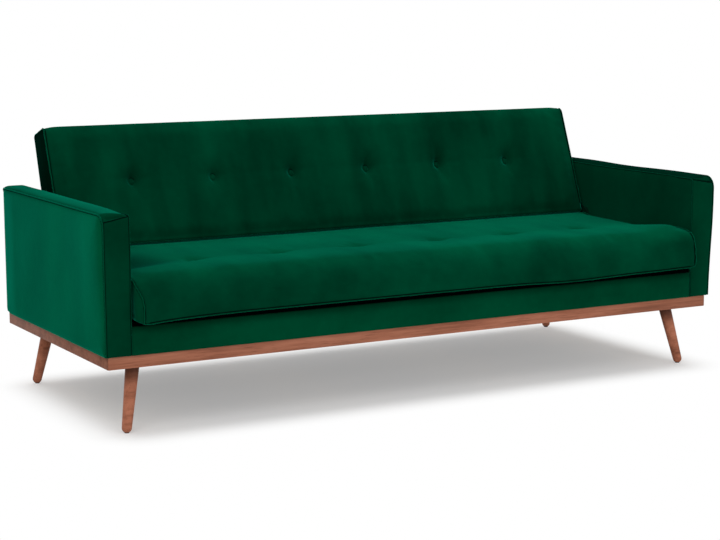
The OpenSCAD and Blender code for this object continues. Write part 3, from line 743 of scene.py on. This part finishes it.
def drape(made, cap, held):
    """Blows the case up by cloth simulation. The held points stay, and none moves beyond cap."""
    start = [v.co.copy() for v in made.data.vertices]
    group = made.vertex_groups.new(name="pins")
    group.add([index for index, co in enumerate(start) if held(co)], 1.0, "REPLACE")
    only(made)
    cloth = made.modifiers.new("case", "CLOTH")
    settings = cloth.settings
    settings.quality = 4
    settings.mass = 0.3
    settings.tension_stiffness = 12
    settings.compression_stiffness = 12
    settings.shear_stiffness = 5
    settings.bending_stiffness = 0.6
    settings.use_pressure = True
    settings.uniform_pressure_force = 4
    settings.effector_weights.gravity = 0
    settings.shrink_min = -0.015
    settings.vertex_group_mass = "pins"
    settings.pin_stiffness = 1
    scene = bpy.context.scene
    for step in range(1, LAST_STEP + 1):
        scene.frame_set(step)
    bpy.ops.object.modifier_apply(modifier=cloth.name)
    scene.frame_set(1)
    for vertex, before in zip(made.data.vertices, start):
        moved = vertex.co - before
        if moved.length > cap:
            vertex.co = before + moved.normalized() * cap
    made.vertex_groups.clear()


def bell(value, width):
    """1 at zero, falling off to both sides."""
    return math.exp(-((value / width) ** 2))


def button_row(gap):
    """Places of the six buttons along X."""
    return [(i - 2.5) * gap for i in range(6)]


def button(name, place, face):
    """A velvet-covered dome with a tucked rim, facing along face."""
    bpy.ops.object.select_all(action="DESELECT")
    bpy.ops.mesh.primitive_uv_sphere_add(segments=32, ring_count=16, radius=BUTTON_R)
    made = bpy.context.object
    made.name = made.data.name = name
    for point in made.data.vertices:
        round_off = 1 - (point.co.xy.length / BUTTON_R) ** 2
        point.co.z *= 0.48 if point.co.z > 0 else 0.25
        point.co.z += 0.0004 * round_off
    turn = Vector((0, 0, 1)).rotation_difference(Vector(face)).to_matrix().to_4x4()
    made.data.transform(Matrix.Translation(place) @ turn)
    only(made)
    bpy.ops.object.shade_smooth()
    return made


def join(pieces, name):
    """Makes one piece of several."""
    bpy.ops.object.select_all(action="DESELECT")
    for piece in pieces:
        piece.select_set(True)
    bpy.context.view_layer.objects.active = pieces[0]
    bpy.ops.object.join()
    made = bpy.context.object
    made.name = made.data.name = name
    return made


def cloth_case(made, voxel, cap, held):
    """Turns a shaped block into a taut case."""
    remesh(made, voxel)
    drape(made, cap, held)
    smooth(made, 2)
    subdivide(made)


SEAT_GAP, SEAT_ROW = 0.280, 0.279
SEAT_VOXEL, SEAT_PUFF = 0.012, 0.009
# Painted shade: dark patches on the top at its left end, beside the left arm. Painted light: the top and
# the roll lighter than the front, and the seat lighter toward its right end. The end panels get a lighter
# copy of the velvet, painted light where the arms shade them.
SEAT_PAINTED_SHADE = ((-0.87, -0.09, 0.455), (6.0, 3.6, 5.0)), ((-0.84, -0.18, 0.455), (6.5, 10.0, 5.0))
SEAT_PAINTED_LIGHT = (UP, 0.420, 0.453, 1.28), (ALONG, -0.70, 0.60, 1.13)
SEAT_ROLL = 0.078
SEAT_WELT = 0.0020
seat_velvet = velvet("velvet_seat", (9, 2.2, 9), 2.0, 0.6, 0.22, 1.0, 0.38, SEAT_PAINTED_LIGHT, SEAT_PAINTED_SHADE)
lit_seat_end_velvet = velvet("velvet_seat_ends", (4, 4, 4), 6.0, 0.5, 0.8, 1.2)
low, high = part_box("seat_cover")
s_low = low + Vector((CASE_INSET, CASE_INSET, CASE_INSET))
s_high = high - Vector((CASE_INSET, CASE_INSET, CROWN_INSET))
seat_button_y = low.y + SEAT_ROW
seat_buttons = [(x, seat_button_y) for x in button_row(SEAT_GAP)]
seat = block("seat_cushion", s_low, s_high)
round_edges(seat, lambda a, b: lies_at(a, b, s_low.y, s_high.z), SEAT_ROLL)


def seat_held(co):
    """The bottom is stapled to the frame, the rear and ends are flat, and the buttons tied down."""
    if co.z < s_low.z + 0.012 or co.y > s_high.y - 0.004 or abs(co.x) > s_high.x - 0.004:
        return True
    on_top = co.z > s_high.z - 0.01
    return on_top and min(math.hypot(co.x - x, co.y - y) for x, y in seat_buttons) < TIED


def seat_bend(co):
    """Crowns the top, sinks the row of buttons, and gives each end its own slack or firm shape."""
    up = max(0.0, (co.z - s_low.z) / (s_high.z - s_low.z))
    end = max(0.0, s_high.x - abs(co.x))
    at_left = ramp(0.5 - co.x)
    from_front = co.y - s_low.y

    # How far the top lies below flat: at the left end, over the roll, along the row of
    # buttons, in a hollow beside the left arm, and less toward the rear.
    dip = 0.004 * at_left * math.exp(-((end / 0.05) ** 1.3)) - 0.002 * bell(from_front - 0.09, 0.09)
    dip += 0.006 * bell(from_front - 0.03, 0.06) * (1 - math.exp(-end / 0.1))
    dip += 0.003 * bell(co.y - seat_button_y, 0.07)
    dip += 0.020 * at_left * math.exp(-((end / 0.16) ** 2)) * bell(co.y + 0.16, 0.09)
    dip -= 0.009 * bell(s_high.y - co.y, 0.035)
    for x, y in seat_buttons:
        away = math.hypot(co.x - x, (co.y - y) * 0.8)
        if away < 0.3:
            pit = math.exp(-((max(0.0, away - 0.008) / 0.010) ** 1.2))
            dip += 0.0030 * pit + 0.0010 * bell(away, 0.08)
            dip += 0.0012 * bell(co.y - y, 0.010) * math.exp(-abs(co.x - x) / 0.07)
    wave = noise.noise(Vector((co.x * 3.1, co.y * 4.3, 3.7))) * 0.0022
    wave += noise.noise(Vector((co.x * 4.5, 0.3, 7.7))) * 0.0032 * bell(from_front - 0.05, 0.05)

    # The front face: rippled, leaning back at its left end, with a slack lower edge.
    front = bell(from_front, 0.03)
    ripple = noise.noise(Vector((co.x * 7.0, co.z * 4.0, 9.1))) * 0.0018
    lean = 0.022 * at_left * up ** 2 * math.exp(-end / 0.05)
    belly = 0.002 * math.sin(math.pi * min(1, up * 1.05))
    sag = 0.013 * at_left * math.exp(-end / 0.12)
    sag += 0.006 * bell(co.x - 0.5, 0.16) - 0.003 * bell(co.x - 0.95, 0.08)

    # The ends swell: the left one behind its front seam, the right one at its front, where
    # the foam is firm and squares up the roll.
    bulge = 0.009 * math.exp(-end / 0.03) * ramp(1 - from_front / 0.06) * (co.x > 0)
    if co.x < 0:
        behind_seam = ramp(from_front / 0.035) * ramp((0.02 - co.y) / 0.2)
        bulge = -0.013 * behind_seam * math.exp(-end / 0.02)
    firm = 0.010 * ramp((co.x - 0.80) / 0.14)
    square = firm * bell(math.hypot(from_front, s_high.z - co.z) - 0.0265, 0.02)
    lift = square + 1.25 * firm * bell(from_front - 0.03, 0.15) * up * up
    y = co.y + (lean - belly + ripple) * front - square
    z = co.z - (dip - wave) * up * up - sag * bell(from_front, 0.08) * (1 - up) + lift
    return Vector((co.x + bulge, y, z))


cloth_case(seat, SEAT_VOXEL, SEAT_PUFF, seat_held)
roll = arc((s_low.y + SEAT_ROLL, s_high.z - SEAT_ROLL), SEAT_ROLL, 180, 90, 8)
seat_outline = [(s_low.y, s_low.z), *roll, (s_high.y, s_high.z), (s_high.y, s_low.z)]
crisp_ends(seat, seat_outline, s_high.x)
crisp_edge(seat, s_low.y, s_low.z, -1, -1)
crisp_edge(seat, s_high.y, s_high.z, 1, 1)
finish_piece(seat, seat_velvet, "seat", "velvet", "seat_cover", "seat_foam")
panelled(seat, seat_outline, s_high.x, 0.0, lit_seat_end_velvet, lit_seat_end_velvet)
for point in seat.data.vertices:
    point.co = seat_bend(point.co)

# Welts: round each end panel, and along the bottom of the front between them.
seams = {"seat_welt_front": along([(-s_high.x, s_low.y, s_low.z), (s_high.x, s_low.y, s_low.z)], 0.02)}
for side, sign in (("left", -1), ("right", 1)):
    seams["seat_welt_" + side] = along([(sign * s_high.x, y, z) for y, z in seat_outline], 0.012)
for name, points in seams.items():
    piping(name, seat, [seat_bend(point) for point in points], SEAT_WELT, "seat", lit_cord_velvet)

# Buttons sit in the pits that they pull down.
tops = lay(seat, [seat_bend(Vector((x, y, s_high.z))) for x, y in seat_buttons], 0.0008)
studs = [button(f"seat_button_{n}", spot, (0, 0, 1)) for n, spot in enumerate(tops)]
studs = join(studs, "seat_button_row")
finish_piece(studs, seat_velvet, "seat", "velvet", "seat_buttons")

# ---- Back cushion ----
# One long cushion that leans back, thick below and thinner at the top, with a welted end
# panel at each side and one row of buttons that draw soft upright pleats.
# It is shaped upright, with its foot at the origin, and then leant back at the hinge.
LEAN = math.radians(21.6)
BACK_GAP, BACK_ROW_LEFT = 0.283, 0.006
BACK_FOOT, BACK_TOP = 0.004, 0.401
BACK_LENGTH, BACK_ROW_UP = 0.397, 0.52
BACK_VOXEL, BACK_PUFF = 0.010, 0.009
BACK_T, BACK_TOP_T = 0.116, 0.088
BACK_TOE, BACK_CREST, BACK_HEEL = 0.007, 0.018, 0.016
BACK_WELT, HEM_WELT = 0.0020, 0.0016
PIN_CLEARANCE = 0.026
back_velvet = velvet("velvet_back", (11, 4, 1.7), 3.0, 0.75)
# A dark copy of the velvet for the end panels: painted shade.
shaded_back_end_velvet = velvet("velvet_back_ends", (4, 4, 4), 7.0, 0.5, 0.06, 0.42)
hinge = next(joint for joint in frame["joints"] if joint["name"] == "back_recline")
to_row = Matrix.Translation(Vector(hinge["pos_m"])) @ Matrix.Rotation(-LEAN, 4, "X")
back_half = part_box("back_cover")[1].x - CASE_INSET
b_low = Vector((-back_half, CASE_INSET, BACK_FOOT + CASE_INSET))
b_high = Vector((back_half, BACK_T - CASE_INSET, BACK_TOP - CASE_INSET))
back_button_z = BACK_FOOT + BACK_LENGTH * BACK_ROW_UP
back_buttons = [(x - BACK_ROW_LEFT, back_button_z) for x in button_row(BACK_GAP)]
back = block("back_cushion", b_low, b_high)
round_edges(back, lambda a, b: lies_at(a, b, b_low.y, b_low.z), BACK_TOE, 4)
round_edges(back, lambda a, b: lies_at(a, b, b_low.y, b_high.z), BACK_CREST)
round_edges(back, lambda a, b: lies_at(a, b, b_high.y, b_high.z), BACK_HEEL, 5)


def tuck(name, place, face):
    """A dark ring of painted shade in the crease round a button's rim on the back."""
    turn = Vector((0, 0, 1)).rotation_difference(Vector(face))
    circle = arc((0, 0), BUTTON_R * 1.08, 0, 345, 23)
    rim = [place + turn @ Vector((x, y, 0.0004)) for x, y in circle]
    welt(name, rim, 0.0030, True, "back", seam_shadow_cord)


def back_held(co):
    """The rear, the ends, the foot and the top are stapled flat, and the buttons tied down."""
    if co.y > b_high.y - 0.004 or abs(co.x) > b_high.x - 0.004:
        return True
    if not b_low.z + 0.004 < co.z < b_high.z - 0.004:
        return True
    on_face = co.y < b_low.y + 0.008
    return on_face and min(math.hypot(co.x - x, co.z - z) for x, z in back_buttons) < TIED


def back_bend(co):
    """Thins the top, swells the ends, and draws a crease above and below each button."""
    up = (co.z - b_low.z) / (b_high.z - b_low.z)
    end = max(0.0, b_high.x - abs(co.x))
    front = max(0.0, 1 - max(0.0, co.y) / 0.05)
    dip = 0.003 * math.exp(-end / 0.03)
    for n, (x, z) in enumerate(back_buttons):
        across, rise = co.x - x, co.z - z
        away = math.hypot(across, rise)
        if away > 0.3 or not front:
            continue
        pit = math.exp(-((max(0.0, away - 0.010) / 0.011) ** 1.2))
        dip += 0.0115 * pit + 0.0075 * bell(away, 0.052)
        lean = across - 0.03 * math.sin(n * 1.7) * rise if rise > 0 else across + rise * 0.22
        dip += 0.0042 * bell(lean, 0.010 + abs(rise) * 0.16) * math.exp(-abs(rise) / 0.11)
        dip += 0.0012 * bell(rise - 0.004, 0.012) * math.exp(-abs(across) / 0.10)
        dip += 0.0050 * bell(across - 0.008 - rise * 0.25, 0.016) * bell(rise - 0.025, 0.028)
    pleat = noise.noise(Vector((co.x * 9.0, co.z * 1.6, 5.2))) * 0.0018
    thin = 1 - (1 - BACK_TOP_T / BACK_T) * up
    corner = 0.006 * bell(b_high.z - co.z, 0.025) * math.exp(-((end / 0.020) ** 1.5))
    swell = 0.005 * ramp((up - 0.35) / 0.25) * ramp(co.y / 0.06) * math.exp(-end / 0.010)
    y = co.y * thin + (dip + pleat) * front
    return Vector((co.x + math.copysign(swell, co.x), y, co.z - corner))


cloth_case(back, BACK_VOXEL, BACK_PUFF, back_held)
toe = arc((b_low.y + BACK_TOE, b_low.z + BACK_TOE), BACK_TOE, 270, 180, 4)
crest = arc((b_low.y + BACK_CREST, b_high.z - BACK_CREST), BACK_CREST, 180, 90, 6)
heel = arc((b_high.y - BACK_HEEL, b_high.z - BACK_HEEL), BACK_HEEL, 90, 0, 4)
back_outline = [*toe, *crest, *heel, (b_high.y, b_low.z)]
crisp_ends(back, back_outline, b_high.x)
crisp_edge(back, b_low.y, b_low.z, -1, -1, 0.014, 0.7)
finish_piece(back, back_velvet, "back", "velvet", "back_cover", "back_foam")
panelled(back, back_outline, b_high.x, 0.0, shaded_back_end_velvet, shaded_back_end_velvet)
for point in back.data.vertices:
    point.co = back_bend(point.co)

# Welts: round each end panel, clear of the hinge pin, and a finer one along the foot.
for side, sign in (("left", -1), ("right", 1)):
    path = along([(sign * b_high.x, y, z) for y, z in back_outline], 0.012)
    path = [back_bend(point) for point in path if point.yz.length > PIN_CLEARANCE]
    piping(f"back_welt_{side}", back, path, BACK_WELT, "back", lit_cord_velvet, to_row)
hem = along([(-b_high.x, b_low.y, b_low.z), (b_high.x, b_low.y, b_low.z)], 0.02)
hem = [back_bend(point) for point in hem]
piping("back_welt_low", back, hem, HEM_WELT, "back", back_velvet, to_row)

# Each button sits in its pit, with the case creased round it and a ring of painted shade in the crease.
spots = lay(back, [back_bend(Vector((x, b_low.y, z))) for x, z in back_buttons], 0.0008)
spots = [to_row @ spot for spot in spots]
face = (to_row.to_3x3() @ Vector((0, -1, 0))).normalized()
studs = [button(f"back_button_{n}", spot, face) for n, spot in enumerate(spots)]
for n, spot in enumerate(spots):
    tuck(f"back_tuck_{n}", spot, face)
back.data.transform(to_row)
studs = join(studs, "back_button_row")
finish_piece(studs, back_velvet, "back", "velvet", "back_buttons")

# ---- Floor and light ----
# A pale floor that goes to plain white away from the sofa's footprint, soft boxes above,
# in front and to the left, and an even white room.
FOOTPRINT = (ALONG, 0.95), (DEPTH, 0.37)
SHADE_EDGE, SHADE_LIFT = 0.20, 0.29
ROOM_LIGHT = 0.55
WHITE = (1, 1, 1, 1)
FLOOR_PALE = (0.86, 0.86, 0.86, 1)


def in_view(finish):
    """1 where the camera sees it, also in a reflection or through a clear piece, and 0 for the
    light that it sheds on the sofa."""
    camera_ray, glossy, through = [
        finish.node("LightPath", out=f"Is {ray} Ray") for ray in ("Camera", "Glossy", "Transmission")
    ]
    return camera_ray.math("MAXIMUM", glossy).math("MAXIMUM", through)


bpy.ops.object.select_all(action="DESELECT")
bpy.ops.mesh.primitive_plane_add(size=60, location=(0, 0, 0))
floor = bpy.context.object
floor.name = "floor"
ground = Finish("floor")
spread = []
for axis, edge in FOOTPRINT:
    spread.append((ground.reach(axis).math("ABSOLUTE") - edge).math("MAXIMUM", 0.0))
distance = (spread[0] * spread[0] + spread[1] * spread[1]).math("SQRT")
pale = ground.node("BsdfDiffuse", {"Color": FLOOR_PALE})
white = ground.node("Emission", {"Color": WHITE, "Strength": 1.0})
share = (distance.step(0.0, SHADE_EDGE) * (1 - SHADE_LIFT) + SHADE_LIFT) * in_view(ground)
ground.node("OutputMaterial", {"Surface": ground.node("MixShader", {0: share, 1: pale, 2: white})})
floor.data.materials.append(ground.data)

room = Finish("room", "worlds")
even = room.node("Background", {"Color": WHITE, "Strength": ROOM_LIGHT})
backdrop = room.node("Background", {"Color": WHITE, "Strength": 1.0})
room.node("OutputWorld", {"Surface": room.node("MixShader", {0: in_view(room), 1: even, 2: backdrop})})
bpy.context.scene.world = room.data


def soft_box(name, place, target, size, watts):
    """A rectangular lamp that faces its target."""
    bpy.ops.object.light_add(type="AREA", location=place)
    lamp = bpy.context.object
    lamp.name = name
    lamp.data.shape = "RECTANGLE"
    lamp.data.size, lamp.data.size_y = size
    lamp.data.energy = watts
    aim = Vector(target) - Vector(place)
    lamp.rotation_euler = aim.to_track_quat("-Z", "Y").to_euler()


soft_box("key_left", (-3.0, -2.6, 3.0), (0, 0, 0.4), (2.5, 2.0), 45)
soft_box("top", (0.2, 0.4, 3.6), (0, 0, 0.4), (4.5, 3.0), 130)
soft_box("front_fill", (0.9, -5.0, 1.6), (0, 0, 0.5), (3.0, 2.0), 60)

bpy.context.scene.view_settings.view_transform = "Standard"
bpy.context.view_layer.update()
